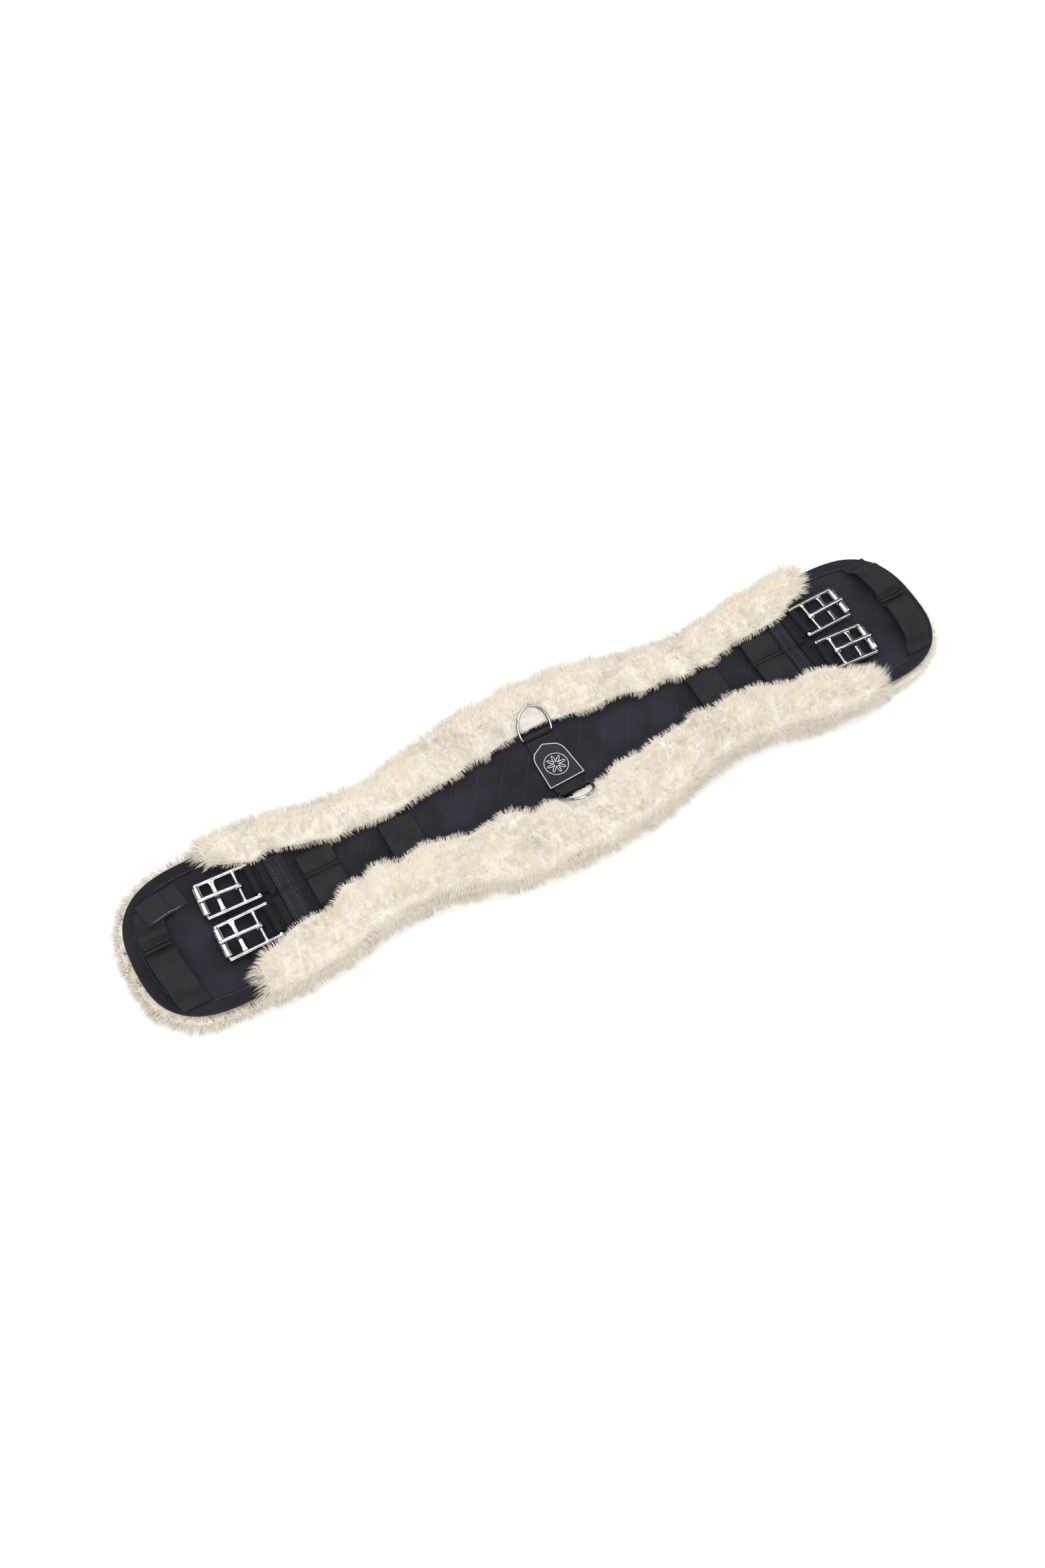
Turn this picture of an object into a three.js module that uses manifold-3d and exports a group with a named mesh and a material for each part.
// Lambskin saddle girth, 70 cm between the outer edges of its buckles, lying fleece side down.
// Millimetres. +X runs along the girth, +Y across it, +Z up. The origin is on the surface it
// lies on, under the middle of the girth.
import * as THREE from "three";
import Manifold from "manifold-3d";

const solids = await Manifold();
solids.setup();

// ---- driving dimensions ----

const GAP = 0.3;                 // clearance between neighbouring pieces

const FLEECE_BOTTOM_T = 14;      // compressed fleece under the hide
const HIDE_T = 1.4;
const FOAM_T = 4.4;
const COVER_T = 2.4;
const HIDE_Z = FLEECE_BOTTOM_T + GAP;
const FOAM_Z = HIDE_Z + HIDE_T + GAP;
const COVER_Z = FOAM_Z + FOAM_T + GAP;
const TOP = COVER_Z + COVER_T;   // upper surface of the cloth

const CORE_HALF_LENGTH = 330.2;  // centre panel, between the two end pads
const FLEECE_TIP_X = 430;        // end of the fleece
const FLEECE_END_START = 345;    // where the rounded end of the fleece begins
const PAD_TIP_X = 423;           // end of the cloth end pad
const PAD_END_START = 342;
const PAD_HALF_WIDTH = 74.5;
const CORE_INSET = 15;           // fleece edge to the edge of the cloth and foam
const HIDE_INSET = 3;
const SIDE_STEP = 23;            // spacing of the points along a long side
const END_STEPS = 12;            // points round each quarter of a rounded end
const PANEL_STEPS = 30;
const PAD_STEPS = 24;

// How far the edge of the fleece underside lies inside the half width, at each height.
const FLEECE_EDGE = [[6, 0], [1.5, 3], [0, 7], [1, 11], [3.5, FLEECE_BOTTOM_T]];

const BINDING_WIDTH = 13;
const BINDING_T = 1.0;

const ROLL_TOP_Z = 41;           // height of the fleece rolled over the long edges
const ROLL_STEPS = 36;
const ROLL_END_ROUND = 16;       // over this length the rolls draw in to their ends
const ROLL_END_DRAW = 3;
const ROLL_END_HEIGHT = 0.72;    // share of the full height that is left at their ends

// Half width of the whole girth, from its middle to its rounded end.
const HALF_WIDTH = stations([[0, 93], [60, 90], [100, 81], [140, 71], [175, 66], [210, 69],
  [255, 78], [300, 83.5], [345, 81]]);

// Distance from the centre line to the inner foot of each fleece roll.
const ROLL_FOOT = stations([[0, 41], [60, 39], [100, 33], [140, 28.5], [170, 27], [205, 28],
  [232, 34], [262, 43], [285, 44], [297, 49], [331, 50]]);

// Roller buckle for a 25 mm strap. Lengths along the buckle start at its inner bar.
const BAR_Z = TOP + 5.5;
const BUCKLE_WIDTH = 38.6;       // over both rails
const RAIL_R = 2.1;
const RAIL_Y = BUCKLE_WIDTH / 2 - RAIL_R;
const RAIL_START = -2.6;
const RAIL_END = 50.9;
const INNER_BAR_R = 2.0;
const TONGUE_BAR_AT = 13.5;
const TONGUE_BAR_R = 1.9;
const FLAT_BAR_AT = 34;
const FLAT_BAR_WIDTH = 4.4;
const FLAT_BAR_T = 2.2;
const ROLLER_BAR_AT = 49;
const ROLLER_BAR_R = 1.8;
const ROLLER_R = 4.0;
const ROLLER_LENGTH = 29.2;
const ROLLER_CHAMFER = 0.4;
const TONGUE_WIDTH = 3.8;
const TONGUE_T = 2.4;
const TONGUE_EYE_R = 3.7;
const TONGUE_TIP_AT = 52.4;

// Elastic that holds each buckle, folded round the inner bar.
const ELASTIC_WIDTH = 29.4;
const ELASTIC_T = 2.6;           // both layers together
const ELASTIC_LOOP_R = 4.1;
const ELASTIC_TAIL = 30;

const BUCKLES = [
  { name: "rear_left", x: -297, y: 24.6, heading: 177.9 },
  { name: "front_left", x: -297, y: -18.8, heading: 180 },
  { name: "rear_right", x: 298, y: 22.6, heading: 1.8 },
  { name: "front_right", x: 298, y: -22.1, heading: -3.4 },
];

// Cloth pocket over the elastics and the sewn band at its mouth.
const POCKET_X = [264.5, 281];
const POCKET_HALF_WIDTH = 41.4;
const POCKET_T = 1.2;
const POCKET_WALL = 1.5;
const BAND_X = [282.6, 289.4];
const BAND_HALF_WIDTH = 41.4;
const BAND_T = 1.5;
const COVER_ROOM_Z = TOP + 4.4;  // underside of the pocket and band, clear of the elastic

// Webbing keepers for the strap ends.
const WEB_T = 1.6;
const PLAIN_KEEPERS = [{ name: "left", x: -158 }, { name: "right", x: 177 }];
const PLAIN_KEEPER_WIDTH = 33;
const DOUBLE_KEEPERS = [{ name: "left", x: -237.5, seam: 6 }, { name: "right", x: 246.5, seam: 3 }];
const DOUBLE_KEEPER_WIDTH = 34;
const KEEPER_RISE = 5.4;
const KEEPER_RAMP = 5;           // how far a loop runs as it rises off the cloth
const DOUBLE_RAMP = 4.5;
const KEEPER_TUCK = 1.2;         // how far the ends stay clear of the feet of the rolls
const SEAM_HALF = 1.2;
const END_KEEPERS = [
  { name: "left", side: -1, x: 388, rear: 46, rearFoot: 22, front: -60, frontFoot: 9, seam: 4 },
  { name: "right", side: 1, x: 388, rear: 60, rearFoot: 9, front: -60, frontFoot: 9, seam: 4 },
];
const END_KEEPER_WIDTH = 27;
const END_KEEPER_BOW = 9;
const END_KEEPER_RISE = 9;
const END_SEAM_HALF = 1.5;
const END_KEEPER_REACH = 60;     // the bow along X fades out at this distance from the middle

// Cross strap with a ring at each end, and the badge sewn on it.
const STRAP_X = 4;
const STRAP_WIDTH = 29;
const RING_WIRE_R = 1.5;
const RING_EYE_R = RING_WIRE_R + GAP;
const STRAP_LOOP_R = RING_EYE_R + 1.4;
const RING_REAR_Y = 36;
const RING_FRONT_Y = -31;
const RING_Z = TOP + GAP + STRAP_LOOP_R;
const RING_HALF_WIDTH = 16.6;
const RING_DEPTH = 28.5;
const RING_LEAN = 44;            // degrees above the cloth
const RING_POWER = 2.25;         // roundness of the bow: 2 is an ellipse
const RING_BAR_STEPS = 8;
const RING_BOW_STEPS = 26;
const RING_SIDES = 8;
const BADGE_T = 1.6;
const BADGE_BEVEL = 0.4;
const BADGE_TURN = 2.5;
const BADGE_EDGE = [[-19, -20.5], [19, -20.5], [17, 10], [15.5, 15], [12.5, 19], [0, 25],
  [-12.5, 19], [-15.5, 15], [-17, 10]];

// Woven label on the left end pad, lapping over the end of the keeper.
const LABEL = { x: -378, y: 42.5, length: 41, width: 25.5, turn: 11, t: 0.7, step: 3.4 };

// ---- materials ----

const fleece = material("#f1e8d6", 0.95, 0);
const hide = material("#d8b9a0", 0.8, 0);
const foam = material("#55565a", 0.9, 0);
const cloth = material("#2a2831", 0.9, 0);
const binding = material("#26242c", 0.9, 0);
const webbing = material("#1f1e20", 0.75, 0);
const elasticCloth = material("#1b1a1d", 0.8, 0);
const steel = material("#c9c8c8", 0.22, 1);
const badgeCloth = material("#3a3843", 0.85, 0);
const labelCloth = material("#2f2e36", 0.6, 0);

// ---- shared shape tools ----

function material(color, roughness, metalness) {
  return new THREE.MeshStandardMaterial({ color, roughness, metalness });
}

function stations(pairs) {
  const at = pairs.map((pair) => pair[0]);
  const value = pairs.map((pair) => pair[1]);
  const curve = new THREE.CubicInterpolant(at, value, 1);
  const last = at[at.length - 1];
  return (x) => curve.evaluate(Math.min(Math.abs(x), last))[0];
}

const girth = new THREE.Group();
girth.name = "saddle_girth";

function add(name, geometry, look) {
  const mesh = new THREE.Mesh(geometry, look);
  mesh.name = name;
  girth.add(mesh);
  return mesh;
}

// Closed solid from a list of rings with equal point counts. The caps follow the flat shape of
// the end rings; a ring list that closes on itself has no caps.
function loft(rings, closed = false, capShape = null) {
  const count = rings[0].length;
  const points = rings.flat();
  const faces = [];
  const spans = closed ? rings.length : rings.length - 1;
  for (let i = 0; i < spans; i += 1) {
    const a = i * count;
    const b = ((i + 1) % rings.length) * count;
    for (let j = 0; j < count; j += 1) {
      const k = (j + 1) % count;
      faces.push([a + j, a + k, b + k], [a + j, b + k, b + j]);
    }
  }
  if (!closed) {
    const end = rings.length - 1;
    const shapeAt = capShape ?? ((i) => flatRing(rings[i]));
    for (const [p, q, r] of capFaces(shapeAt(0))) {
      faces.push([r, q, p]);
    }
    for (const [p, q, r] of capFaces(shapeAt(end))) {
      faces.push([end * count + p, end * count + q, end * count + r]);
    }
  }
  let volume = 0;
  for (const [p, q, r] of faces) {
    volume += points[p].dot(new THREE.Vector3().crossVectors(points[q], points[r]));
  }
  const order = volume > 0 ? faces : faces.map(([p, q, r]) => [p, r, q]);
  const geometry = new THREE.BufferGeometry();
  const flat = points.flatMap((point) => [point.x, point.y, point.z]);
  geometry.setAttribute("position", new THREE.Float32BufferAttribute(flat, 3));
  geometry.setIndex(order.flat());
  return geometry;
}

// Triangles that fill a flat ring, each wound the same way as the ring.
function capFaces(ring) {
  const way = Math.sign(THREE.ShapeUtils.area(ring));
  return THREE.ShapeUtils.triangulateShape(ring, []).map(([p, q, r]) => {
    const turn = Math.sign(THREE.ShapeUtils.area([ring[p], ring[q], ring[r]]));
    return turn === way ? [p, q, r] : [p, r, q];
  });
}

// A ring seen along the direction in which it is thinnest.
function flatRing(ring) {
  const size = new THREE.Box3().setFromPoints(ring).getSize(new THREE.Vector3());
  const thin = size.x <= size.y && size.x <= size.z ? "x" : size.y <= size.z ? "y" : "z";
  const pick = { x: (p) => [p.y, p.z], y: (p) => [p.x, p.z], z: (p) => [p.x, p.y] }[thin];
  return ring.map((p) => new THREE.Vector2(...pick(p)));
}

function toSolid(geometry) {
  const position = geometry.getAttribute("position");
  const index = geometry.getIndex();
  const triVerts = index
    ? Uint32Array.from(index.array)
    : Uint32Array.from({ length: position.count }, (_, i) => i);
  const vertProperties = Float32Array.from(position.array);
  const mesh = new solids.Mesh({ numProp: 3, vertProperties, triVerts });
  mesh.merge();
  return new solids.Manifold(mesh);
}

function fromSolid(solid) {
  const mesh = solid.getMesh();
  const geometry = new THREE.BufferGeometry();
  const numbers = new THREE.Float32BufferAttribute(mesh.vertProperties, mesh.numProp);
  geometry.setAttribute("position", numbers);
  geometry.setIndex(Array.from(mesh.triVerts));
  return geometry;
}

function join(...geometries) {
  const parts = geometries.map(toSolid);
  return fromSolid(parts.reduce((whole, piece) => whole.add(piece)));
}

function cut(geometry, ...tools) {
  const whole = toSolid(geometry);
  return fromSolid(tools.map(toSolid).reduce((rest, tool) => rest.subtract(tool), whole));
}

function box(x0, x1, y0, y1, z0, z1) {
  const geometry = new THREE.BoxGeometry(x1 - x0, y1 - y0, z1 - z0);
  return geometry.translate((x0 + x1) / 2, (y0 + y1) / 2, (z0 + z1) / 2);
}

// Round bar along Y, centred on the local origin.
function crossBar(radius, length, sides = 12) {
  return new THREE.CylinderGeometry(radius, radius, length, sides);
}

// ---- the flat layers ----

const CORNER_POWER = 2.6;

// Outline of a long body, symmetric about both axes: its sides follow the half width and its
// ends are rounded.
function roundedOutline(inset) {
  const quarter = [];
  for (let x = 0; x < FLEECE_END_START - 1; x += SIDE_STEP) {
    quarter.push([x, HALF_WIDTH(x) - inset]);
  }
  const reach = FLEECE_TIP_X - FLEECE_END_START - inset;
  const height = HALF_WIDTH(FLEECE_END_START) - inset;
  for (let i = 0; i <= END_STEPS; i += 1) {
    const turn = (Math.PI / 2) * (i / END_STEPS);
    const x = FLEECE_END_START + reach * Math.sin(turn) ** (2 / CORNER_POWER);
    const y = height * Math.cos(turn) ** (2 / CORNER_POWER);
    quarter.push([x, i === END_STEPS ? 0 : y]);
  }
  return mirrored(quarter);
}

// Quarter outline from the Y axis round to the X axis, repeated in all four quarters.
function mirrored(quarter) {
  const upper = quarter.slice(0, -1);
  const tip = quarter[quarter.length - 1];
  const right = upper.slice().reverse();
  const left = upper.slice(1);
  const outline = [tip];
  outline.push(...right);
  outline.push(...left.map(([x, y]) => [-x, y]));
  outline.push([-tip[0], 0]);
  outline.push(...left.slice().reverse().map(([x, y]) => [-x, -y]));
  outline.push(...upper.map(([x, y]) => [x, -y]));
  return outline;
}

function panelOutline(halfLength, inset) {
  const upper = [];
  for (let i = 0; i <= PANEL_STEPS; i += 1) {
    const x = halfLength - (2 * halfLength * i) / PANEL_STEPS;
    upper.push([x, HALF_WIDTH(x) - inset]);
  }
  const lower = upper.slice().reverse().map(([x, y]) => [x, -y]);
  return [...upper, ...lower];
}

const PAD_POWER = 2.7;

// Curved edge of an end pad, from its rear inner corner round to the front inner corner.
function padCurve(side, inset) {
  const curve = [];
  const reach = PAD_TIP_X - PAD_END_START - inset;
  const height = PAD_HALF_WIDTH - inset;
  const start = CORE_HALF_LENGTH + GAP + 0.1;
  curve.push([side * start, height]);
  for (let i = 0; i <= PAD_STEPS; i += 1) {
    const turn = Math.PI * (i / PAD_STEPS) - Math.PI / 2;
    const across = -Math.sin(turn);
    const along = Math.max(Math.cos(turn), 0);
    const x = PAD_END_START + reach * along ** (2 / PAD_POWER);
    const y = height * Math.sign(across) * Math.abs(across) ** (2 / PAD_POWER);
    curve.push([side * x, y]);
  }
  curve.push([side * start, -height]);
  return curve;
}

function stack(layers) {
  const rings = layers.map(([outline, z]) => outline.map(([x, y]) => new THREE.Vector3(x, y, z)));
  return loft(rings);
}

function slab(outline, z0, z1) {
  return stack([[outline, z0], [outline, z1]]);
}

const underside = stack(FLEECE_EDGE.map(([inset, z]) => [roundedOutline(inset), z]));
add("lambskin_underside", underside, fleece);

add("hide_backing", slab(roundedOutline(HIDE_INSET), HIDE_Z, HIDE_Z + HIDE_T), hide);

const corePanel = panelOutline(CORE_HALF_LENGTH, CORE_INSET);
add("foam_core", slab(corePanel, FOAM_Z, FOAM_Z + FOAM_T), foam);
add("centre_cover", slab(corePanel, COVER_Z, TOP), cloth);

for (const [name, side] of [["left", -1], ["right", 1]]) {
  const pad = padCurve(side, BINDING_T + GAP);
  add(`end_pad_${name}`, stack([
    [pad, FOAM_Z],
    [pad, TOP],
  ]), cloth);

  const outer = padCurve(side, 0);
  const skirt = padCurve(side, BINDING_T);
  const inner = padCurve(side, BINDING_WIDTH);
  const low = FOAM_Z;
  const shelf = TOP + GAP;
  const high = shelf + BINDING_T;
  const rings = outer.map((edge, i) => [
    new THREE.Vector3(edge[0], edge[1], low),
    new THREE.Vector3(edge[0], edge[1], high - 0.3),
    new THREE.Vector3(skirt[i][0], skirt[i][1], high),
    new THREE.Vector3(inner[i][0], inner[i][1], high),
    new THREE.Vector3(inner[i][0], inner[i][1], shelf),
    new THREE.Vector3(skirt[i][0], skirt[i][1], shelf),
    new THREE.Vector3(skirt[i][0], skirt[i][1], low),
  ]);
  add(`end_binding_${name}`, loft(rings), binding);
}

// ---- fleece rolled over the long edges ----

// Section of one roll: it stands on the cloth and steps down outside the cloth to the hide.
function rollSection(x) {
  const toEnd = CORE_HALF_LENGTH - Math.abs(x);
  const fade = Math.sqrt(Math.min(1, Math.max(0, toEnd / ROLL_END_ROUND)));
  const draw = ROLL_END_DRAW * (1 - fade);
  const foot = ROLL_FOOT(x) + draw;
  const edge = HALF_WIDTH(x) - draw;
  const step = HALF_WIDTH(x) - CORE_INSET + 0.6;
  const rise = (ROLL_TOP_Z - TOP) * (ROLL_END_HEIGHT + (1 - ROLL_END_HEIGHT) * fade);
  const width = edge - foot;
  const base = TOP + GAP + 0.1;
  const low = FOAM_Z + 0.1;
  return [
    [foot, base],
    [step, base],
    [step, low],
    [edge - 3, low],
    [edge - 0.8, TOP - 2],
    [edge, TOP + 0.2 * rise],
    [edge - 0.05 * width, TOP + 0.58 * rise],
    [edge - 0.2 * width, TOP + 0.9 * rise],
    [edge - 0.44 * width, TOP + rise],
    [foot + 0.3 * width, TOP + 0.88 * rise],
    [foot + 0.12 * width, TOP + 0.62 * rise],
    [foot + 0.03 * width, TOP + 0.32 * rise],
  ];
}

for (const [name, side] of [["rear", 1], ["front", -1]]) {
  const rings = [];
  const cells = [];
  const stops = [-CORE_HALF_LENGTH];
  for (let i = 0; i <= ROLL_STEPS; i += 1) {
    const share = (i - ROLL_STEPS / 2) / (ROLL_STEPS / 2);
    stops.push(share * (CORE_HALF_LENGTH - 6));
  }
  stops.push(CORE_HALF_LENGTH);
  for (const x of stops) {
    const section = rollSection(x);
    rings.push(section.map(([y, z]) => new THREE.Vector3(x, side * y, z)));
    cells.push(section.map(([y, z]) => new THREE.Vector2(side * y, z)));
  }
  add(`fleece_roll_${name}`, loft(rings, false, (i) => cells[i]), fleece);
}

// ---- webbing ----

// Flat band that follows a smooth line of [y, z] points. Its centre shifts along X with y.
function band(line, width, thickness, centreX, steps = 32) {
  const curve = new THREE.CatmullRomCurve3(
    line.map(([y, z]) => new THREE.Vector3(0, y, z)),
    false,
    "centripetal",
  );
  const lowest = Math.min(...line.map((point) => point[1]));
  const centre = curve.getPoints(steps);
  for (const point of centre) {
    point.z = Math.max(point.z, lowest);
  }
  const rings = centre.map((at, i) => {
    const before = centre[Math.max(i - 1, 0)];
    const after = centre[Math.min(i + 1, steps)];
    const way = after.clone().sub(before).normalize();
    const up = new THREE.Vector3(0, -way.z, way.y).multiplyScalar(thickness / 2);
    const x = centreX(at.y);
    return [
      new THREE.Vector3(x - width / 2, at.y + up.y, at.z + up.z),
      new THREE.Vector3(x + width / 2, at.y + up.y, at.z + up.z),
      new THREE.Vector3(x + width / 2, at.y - up.y, at.z - up.z),
      new THREE.Vector3(x - width / 2, at.y - up.y, at.z - up.z),
    ];
  });
  return loft(rings);
}

const REST_Z = TOP + GAP + WEB_T / 2 + 0.05;

function arch(from, to, rise, ramp) {
  return [
    [from, REST_Z],
    [from + ramp * 0.5, REST_Z + rise * 0.45],
    [from + ramp, REST_Z + rise * 0.9],
    [from + ramp * 1.6, REST_Z + rise],
    [to - ramp * 1.6, REST_Z + rise],
    [to - ramp, REST_Z + rise * 0.9],
    [to - ramp * 0.5, REST_Z + rise * 0.45],
    [to, REST_Z],
  ];
}

for (const { name, x } of PLAIN_KEEPERS) {
  const reach = ROLL_FOOT(x) - KEEPER_TUCK;
  const loop = arch(-reach + 3, reach - 3, KEEPER_RISE, KEEPER_RAMP);
  const line = [[-reach, REST_Z], ...loop, [reach, REST_Z]];
  add(`plain_keeper_${name}`, band(line, PLAIN_KEEPER_WIDTH, WEB_T, () => x), webbing);
}

for (const { name, x, seam } of DOUBLE_KEEPERS) {
  const reach = ROLL_FOOT(Math.abs(x) - DOUBLE_KEEPER_WIDTH / 2) - KEEPER_TUCK;
  const line = [
    ...arch(-reach, seam - SEAM_HALF, KEEPER_RISE, DOUBLE_RAMP),
    ...arch(seam + SEAM_HALF, reach, KEEPER_RISE, DOUBLE_RAMP),
  ];
  add(`double_keeper_${name}`, band(line, DOUBLE_KEEPER_WIDTH, WEB_T, () => x, 44), webbing);
}

// The end keepers stand on the binding, so the whole band is lifted by its thickness.
for (const { name, side, x, rear, rearFoot, front, frontFoot, seam } of END_KEEPERS) {
  const line = [
    [front, REST_Z],
    ...arch(front + frontFoot, seam - END_SEAM_HALF, END_KEEPER_RISE, 8),
    ...arch(seam + END_SEAM_HALF, rear - rearFoot, END_KEEPER_RISE, 7),
    [rear, REST_Z],
  ];
  const bow = (y) => END_KEEPER_BOW * (1 - Math.min(1, (y / END_KEEPER_REACH) ** 2));
  const centreX = (y) => side * (x + bow(y));
  const keeper = band(line, END_KEEPER_WIDTH, WEB_T, centreX, 52);
  add(`end_keeper_${name}`, keeper.translate(0, 0, BINDING_T + GAP), webbing);
}

// ---- cross strap, rings and badge ----

// Turns a flat shape drawn in (y, z) into a solid of the given width along X.
function extrudeAlongX(shape, width, curveSegments = 8) {
  const geometry = new THREE.ExtrudeGeometry(shape, {
    depth: width,
    bevelEnabled: false,
    curveSegments,
  });
  const toXyz = new THREE.Matrix4().set(0, 0, 1, -width / 2, 1, 0, 0, 0, 0, 1, 0, 0, 0, 0, 0, 1);
  return geometry.applyMatrix4(toXyz);
}

function circleHole(y, z, radius) {
  const hole = new THREE.Path();
  hole.absarc(y, z, radius, 0, Math.PI * 2, true);
  return hole;
}

const strapBottom = TOP + GAP;
const strapTop = strapBottom + WEB_T;
const sink = Math.asin((strapTop - RING_Z) / STRAP_LOOP_R);
const strapShape = new THREE.Shape();
strapShape.moveTo(RING_FRONT_Y, strapBottom);
strapShape.lineTo(RING_REAR_Y, strapBottom);
strapShape.absarc(RING_REAR_Y, RING_Z, STRAP_LOOP_R, -Math.PI / 2, Math.PI - sink, false);
strapShape.absarc(RING_FRONT_Y, RING_Z, STRAP_LOOP_R, sink, (Math.PI * 3) / 2, false);
strapShape.holes.push(circleHole(RING_REAR_Y, RING_Z, RING_EYE_R));
strapShape.holes.push(circleHole(RING_FRONT_Y, RING_Z, RING_EYE_R));
add("ring_strap", extrudeAlongX(strapShape, STRAP_WIDTH).translate(STRAP_X, 0, 0), webbing);

// Closed D of round wire, lying in the XY plane with its straight side on the X axis.
function ringGeometry() {
  const line = [];
  for (let i = 0; i < RING_BAR_STEPS; i += 1) {
    line.push([-RING_HALF_WIDTH + (2 * RING_HALF_WIDTH * i) / RING_BAR_STEPS, 0]);
  }
  for (let i = 0; i < RING_BOW_STEPS; i += 1) {
    const turn = Math.PI * (i / RING_BOW_STEPS);
    const across = Math.cos(turn);
    const out = Math.sin(turn);
    const x = RING_HALF_WIDTH * Math.sign(across) * Math.abs(across) ** (2 / RING_POWER);
    line.push([x, RING_DEPTH * out ** (2 / RING_POWER)]);
  }
  const rings = line.map(([x, y], i) => {
    const before = line[(i + line.length - 1) % line.length];
    const after = line[(i + 1) % line.length];
    const side = new THREE.Vector2(after[1] - before[1], before[0] - after[0]).normalize();
    const ring = [];
    for (let j = 0; j < RING_SIDES; j += 1) {
      const turn = (Math.PI * 2 * j) / RING_SIDES;
      const off = RING_WIRE_R * Math.cos(turn);
      const z = RING_WIRE_R * Math.sin(turn);
      ring.push(new THREE.Vector3(x + side.x * off, y + side.y * off, z));
    }
    return ring;
  });
  return loft(rings, true);
}

const lean = THREE.MathUtils.degToRad(RING_LEAN);
for (const [name, y, turn] of [["rear", RING_REAR_Y, 0], ["front", RING_FRONT_Y, Math.PI]]) {
  const ring = ringGeometry().rotateX(lean).rotateZ(turn).translate(STRAP_X, y, RING_Z);
  add(`ring_${name}`, ring, steel);
}

const badgeShape = new THREE.Shape(BADGE_EDGE.map(([x, y]) => new THREE.Vector2(x, y)));
const badge = new THREE.ExtrudeGeometry(badgeShape, {
  depth: BADGE_T - 2 * BADGE_BEVEL,
  bevelThickness: BADGE_BEVEL,
  bevelSize: BADGE_BEVEL,
  bevelSegments: 1,
});
badge.rotateZ(THREE.MathUtils.degToRad(BADGE_TURN));
badge.translate(STRAP_X, 0, strapTop + GAP + BADGE_BEVEL);
add("badge", badge, badgeCloth);

// ---- pocket and band over the elastics ----

for (const [name, side] of [["left", -1], ["right", 1]]) {
  const [near, far] = POCKET_X;
  const top = COVER_ROOM_Z + POCKET_T;
  const outer = box(near, far, -POCKET_HALF_WIDTH, POCKET_HALF_WIDTH, TOP + GAP, top);
  const wide = POCKET_HALF_WIDTH - POCKET_WALL;
  const room = box(near + POCKET_WALL, far + 1, -wide, wide, TOP, COVER_ROOM_Z);
  const pocket = cut(outer, room);
  pocket.rotateZ(side < 0 ? Math.PI : 0);
  add(`elastic_pocket_${name}`, pocket, cloth);

  const bandTop = COVER_ROOM_Z + BAND_T;
  const bandBlock = box(...BAND_X, -BAND_HALF_WIDTH, BAND_HALF_WIDTH, TOP + GAP, bandTop);
  const tunnel = box(BAND_X[0] - 1, BAND_X[1] + 1, -wide, wide, TOP, COVER_ROOM_Z);
  const sewnBand = cut(bandBlock, tunnel);
  sewnBand.rotateZ(side < 0 ? Math.PI : 0);
  add(`sewn_band_${name}`, sewnBand, binding);
}

// ---- elastics and buckles ----

// Every piece below is drawn with the inner bar's centre at the origin, +X out along the buckle.

function elasticGeometry() {
  const topZ = ELASTIC_T - ELASTIC_LOOP_R;
  const meet = Math.asin(topZ / ELASTIC_LOOP_R);
  const shape = new THREE.Shape();
  shape.moveTo(-ELASTIC_TAIL, -ELASTIC_LOOP_R);
  shape.lineTo(0, -ELASTIC_LOOP_R);
  shape.absarc(0, 0, ELASTIC_LOOP_R, -Math.PI / 2, Math.PI - meet, false);
  shape.lineTo(-ELASTIC_TAIL, topZ);
  shape.closePath();
  shape.holes.push(circleHole(0, 0, INNER_BAR_R + GAP));
  const geometry = new THREE.ExtrudeGeometry(shape, {
    depth: ELASTIC_WIDTH,
    bevelEnabled: false,
    curveSegments: 10,
  });
  return geometry.rotateX(Math.PI / 2).translate(0, ELASTIC_WIDTH / 2, 0);
}

function rail(y) {
  const length = RAIL_END - RAIL_START;
  const bar = new THREE.CapsuleGeometry(RAIL_R, length - 2 * RAIL_R, 3, 12);
  return bar.rotateZ(Math.PI / 2).translate((RAIL_START + RAIL_END) / 2, y, 0);
}

function frameGeometry() {
  const span = 2 * RAIL_Y;
  const flat = box(
    FLAT_BAR_AT - FLAT_BAR_WIDTH / 2,
    FLAT_BAR_AT + FLAT_BAR_WIDTH / 2,
    -RAIL_Y,
    RAIL_Y,
    -FLAT_BAR_T / 2,
    FLAT_BAR_T / 2,
  );
  return join(
    rail(RAIL_Y),
    rail(-RAIL_Y),
    crossBar(INNER_BAR_R, span),
    crossBar(TONGUE_BAR_R, span).translate(TONGUE_BAR_AT, 0, 0),
    flat,
    crossBar(ROLLER_BAR_R, span).translate(ROLLER_BAR_AT, 0, 0),
  );
}

function rollerGeometry() {
  const half = ROLLER_LENGTH / 2;
  const bore = ROLLER_BAR_R + GAP;
  const profile = [
    new THREE.Vector2(bore, -half),
    new THREE.Vector2(ROLLER_R - ROLLER_CHAMFER, -half),
    new THREE.Vector2(ROLLER_R, -half + ROLLER_CHAMFER),
    new THREE.Vector2(ROLLER_R, half - ROLLER_CHAMFER),
    new THREE.Vector2(ROLLER_R - ROLLER_CHAMFER, half),
    new THREE.Vector2(bore, half),
    new THREE.Vector2(bore, -half),
  ];
  return new THREE.LatheGeometry(profile, 16).translate(ROLLER_BAR_AT, 0, 0);
}

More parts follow.
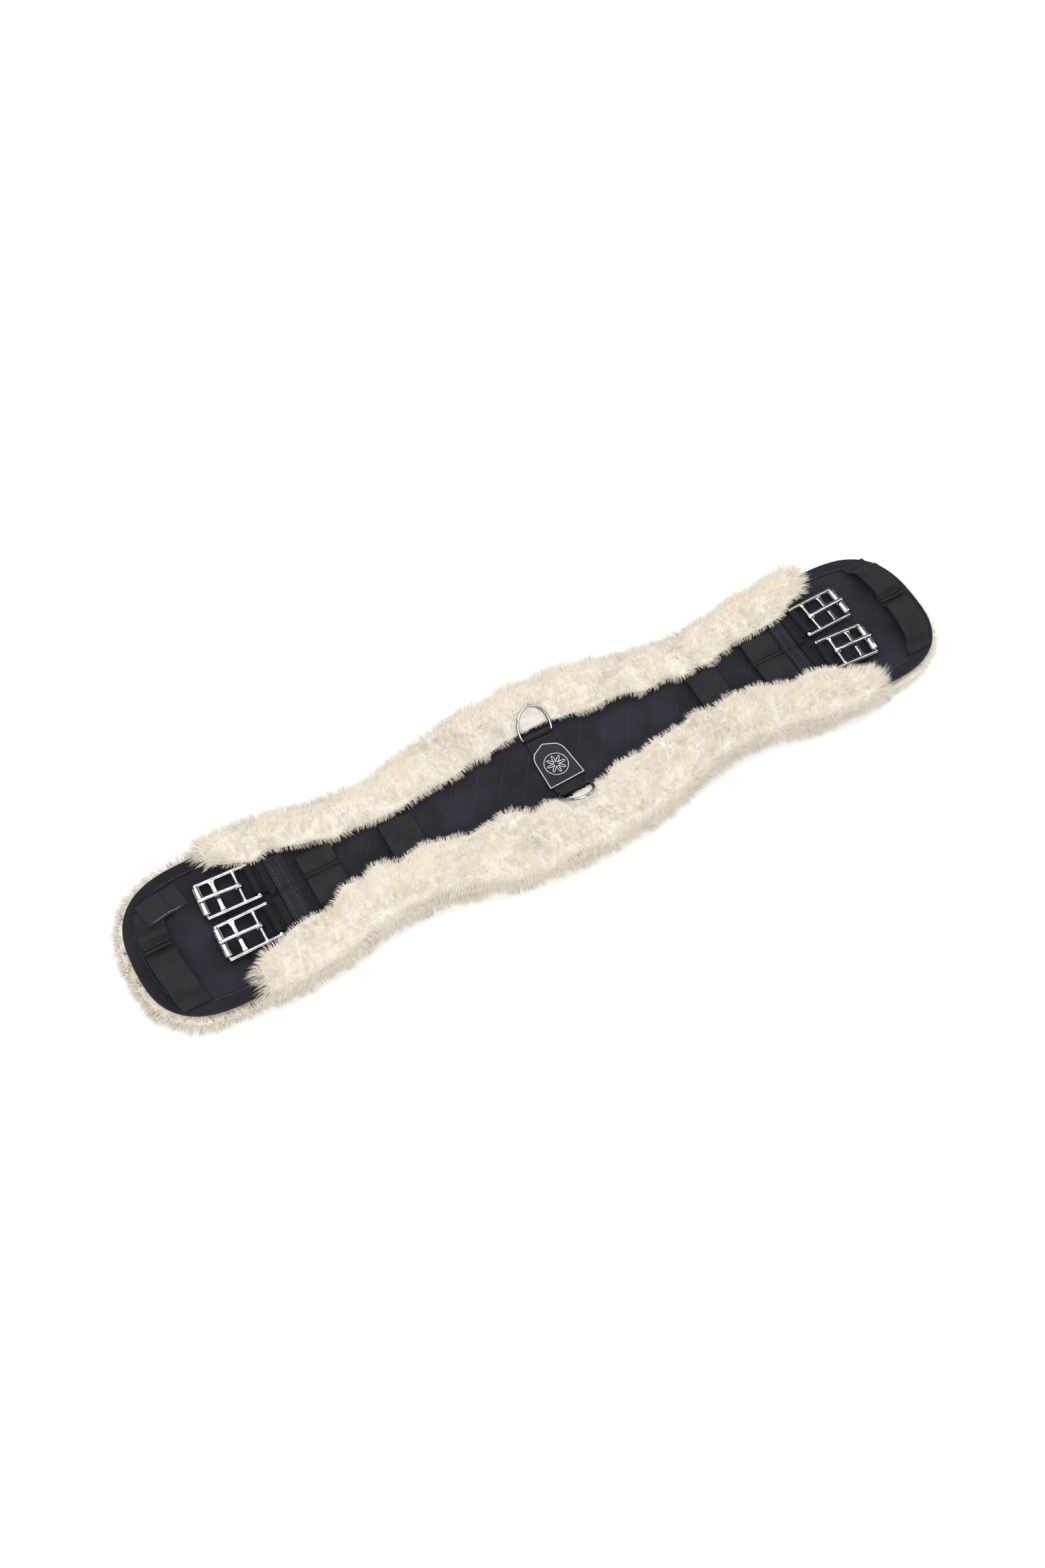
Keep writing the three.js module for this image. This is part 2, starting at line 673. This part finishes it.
// The tongue's eye turns on its bar and its blade runs over the flat bar to rest on the roller.
function tongueGeometry() {
  const rollerTop = ROLLER_R + GAP;
  const shape = new THREE.Shape();
  const start = TONGUE_BAR_AT;
  const lift = TONGUE_EYE_R;
  shape.moveTo(start, lift);
  shape.absarc(start, 0, TONGUE_EYE_R, Math.PI / 2, Math.PI * 2 + 0.45, false);
  shape.lineTo(start + 6, lift - TONGUE_T + 0.6);
  shape.lineTo(ROLLER_BAR_AT - 6, rollerTop);
  shape.lineTo(TONGUE_TIP_AT - 1, rollerTop);
  shape.lineTo(TONGUE_TIP_AT, rollerTop + 0.7);
  shape.lineTo(TONGUE_TIP_AT - 0.6, rollerTop + 1.8);
  shape.lineTo(ROLLER_BAR_AT - 6, rollerTop + TONGUE_T);
  shape.closePath();
  shape.holes.push(circleHole(start, 0, TONGUE_BAR_R + GAP));
  const geometry = new THREE.ExtrudeGeometry(shape, {
    depth: TONGUE_WIDTH,
    bevelEnabled: false,
    curveSegments: 7,
  });
  return geometry.rotateX(Math.PI / 2).translate(0, TONGUE_WIDTH / 2, 0);
}

for (const { name, x, y, heading } of BUCKLES) {
  const place = (geometry) => geometry
    .rotateZ(THREE.MathUtils.degToRad(heading))
    .translate(x, y, BAR_Z);
  add(`elastic_${name}`, place(elasticGeometry()), elasticCloth);
  add(`buckle_frame_${name}`, place(frameGeometry()), steel);
  add(`buckle_tongue_${name}`, place(tongueGeometry()), steel);
  add(`buckle_roller_${name}`, place(rollerGeometry()), steel);
}

// ---- label ----

// Flat on the pad next to the buckle, stepping up over the webbing at its outer end.
function labelGeometry() {
  const { length, width, t, step } = LABEL;
  const low = TOP + GAP;
  const half = length / 2;
  const shape = new THREE.Shape([
    [half, low], [half, low + t], [7, low + t], [3, low + t + step], [-half, low + t + step],
    [-half, low + step], [3, low + step], [7, low],
  ].map(([x, z]) => new THREE.Vector2(x, z)));
  const geometry = new THREE.ExtrudeGeometry(shape, { depth: width, bevelEnabled: false });
  return geometry.rotateX(Math.PI / 2).translate(0, width / 2, 0);
}

const label = labelGeometry();
label.rotateZ(THREE.MathUtils.degToRad(LABEL.turn)).translate(LABEL.x, LABEL.y, 0);
add("woven_label", label, labelCloth);

export default girth;
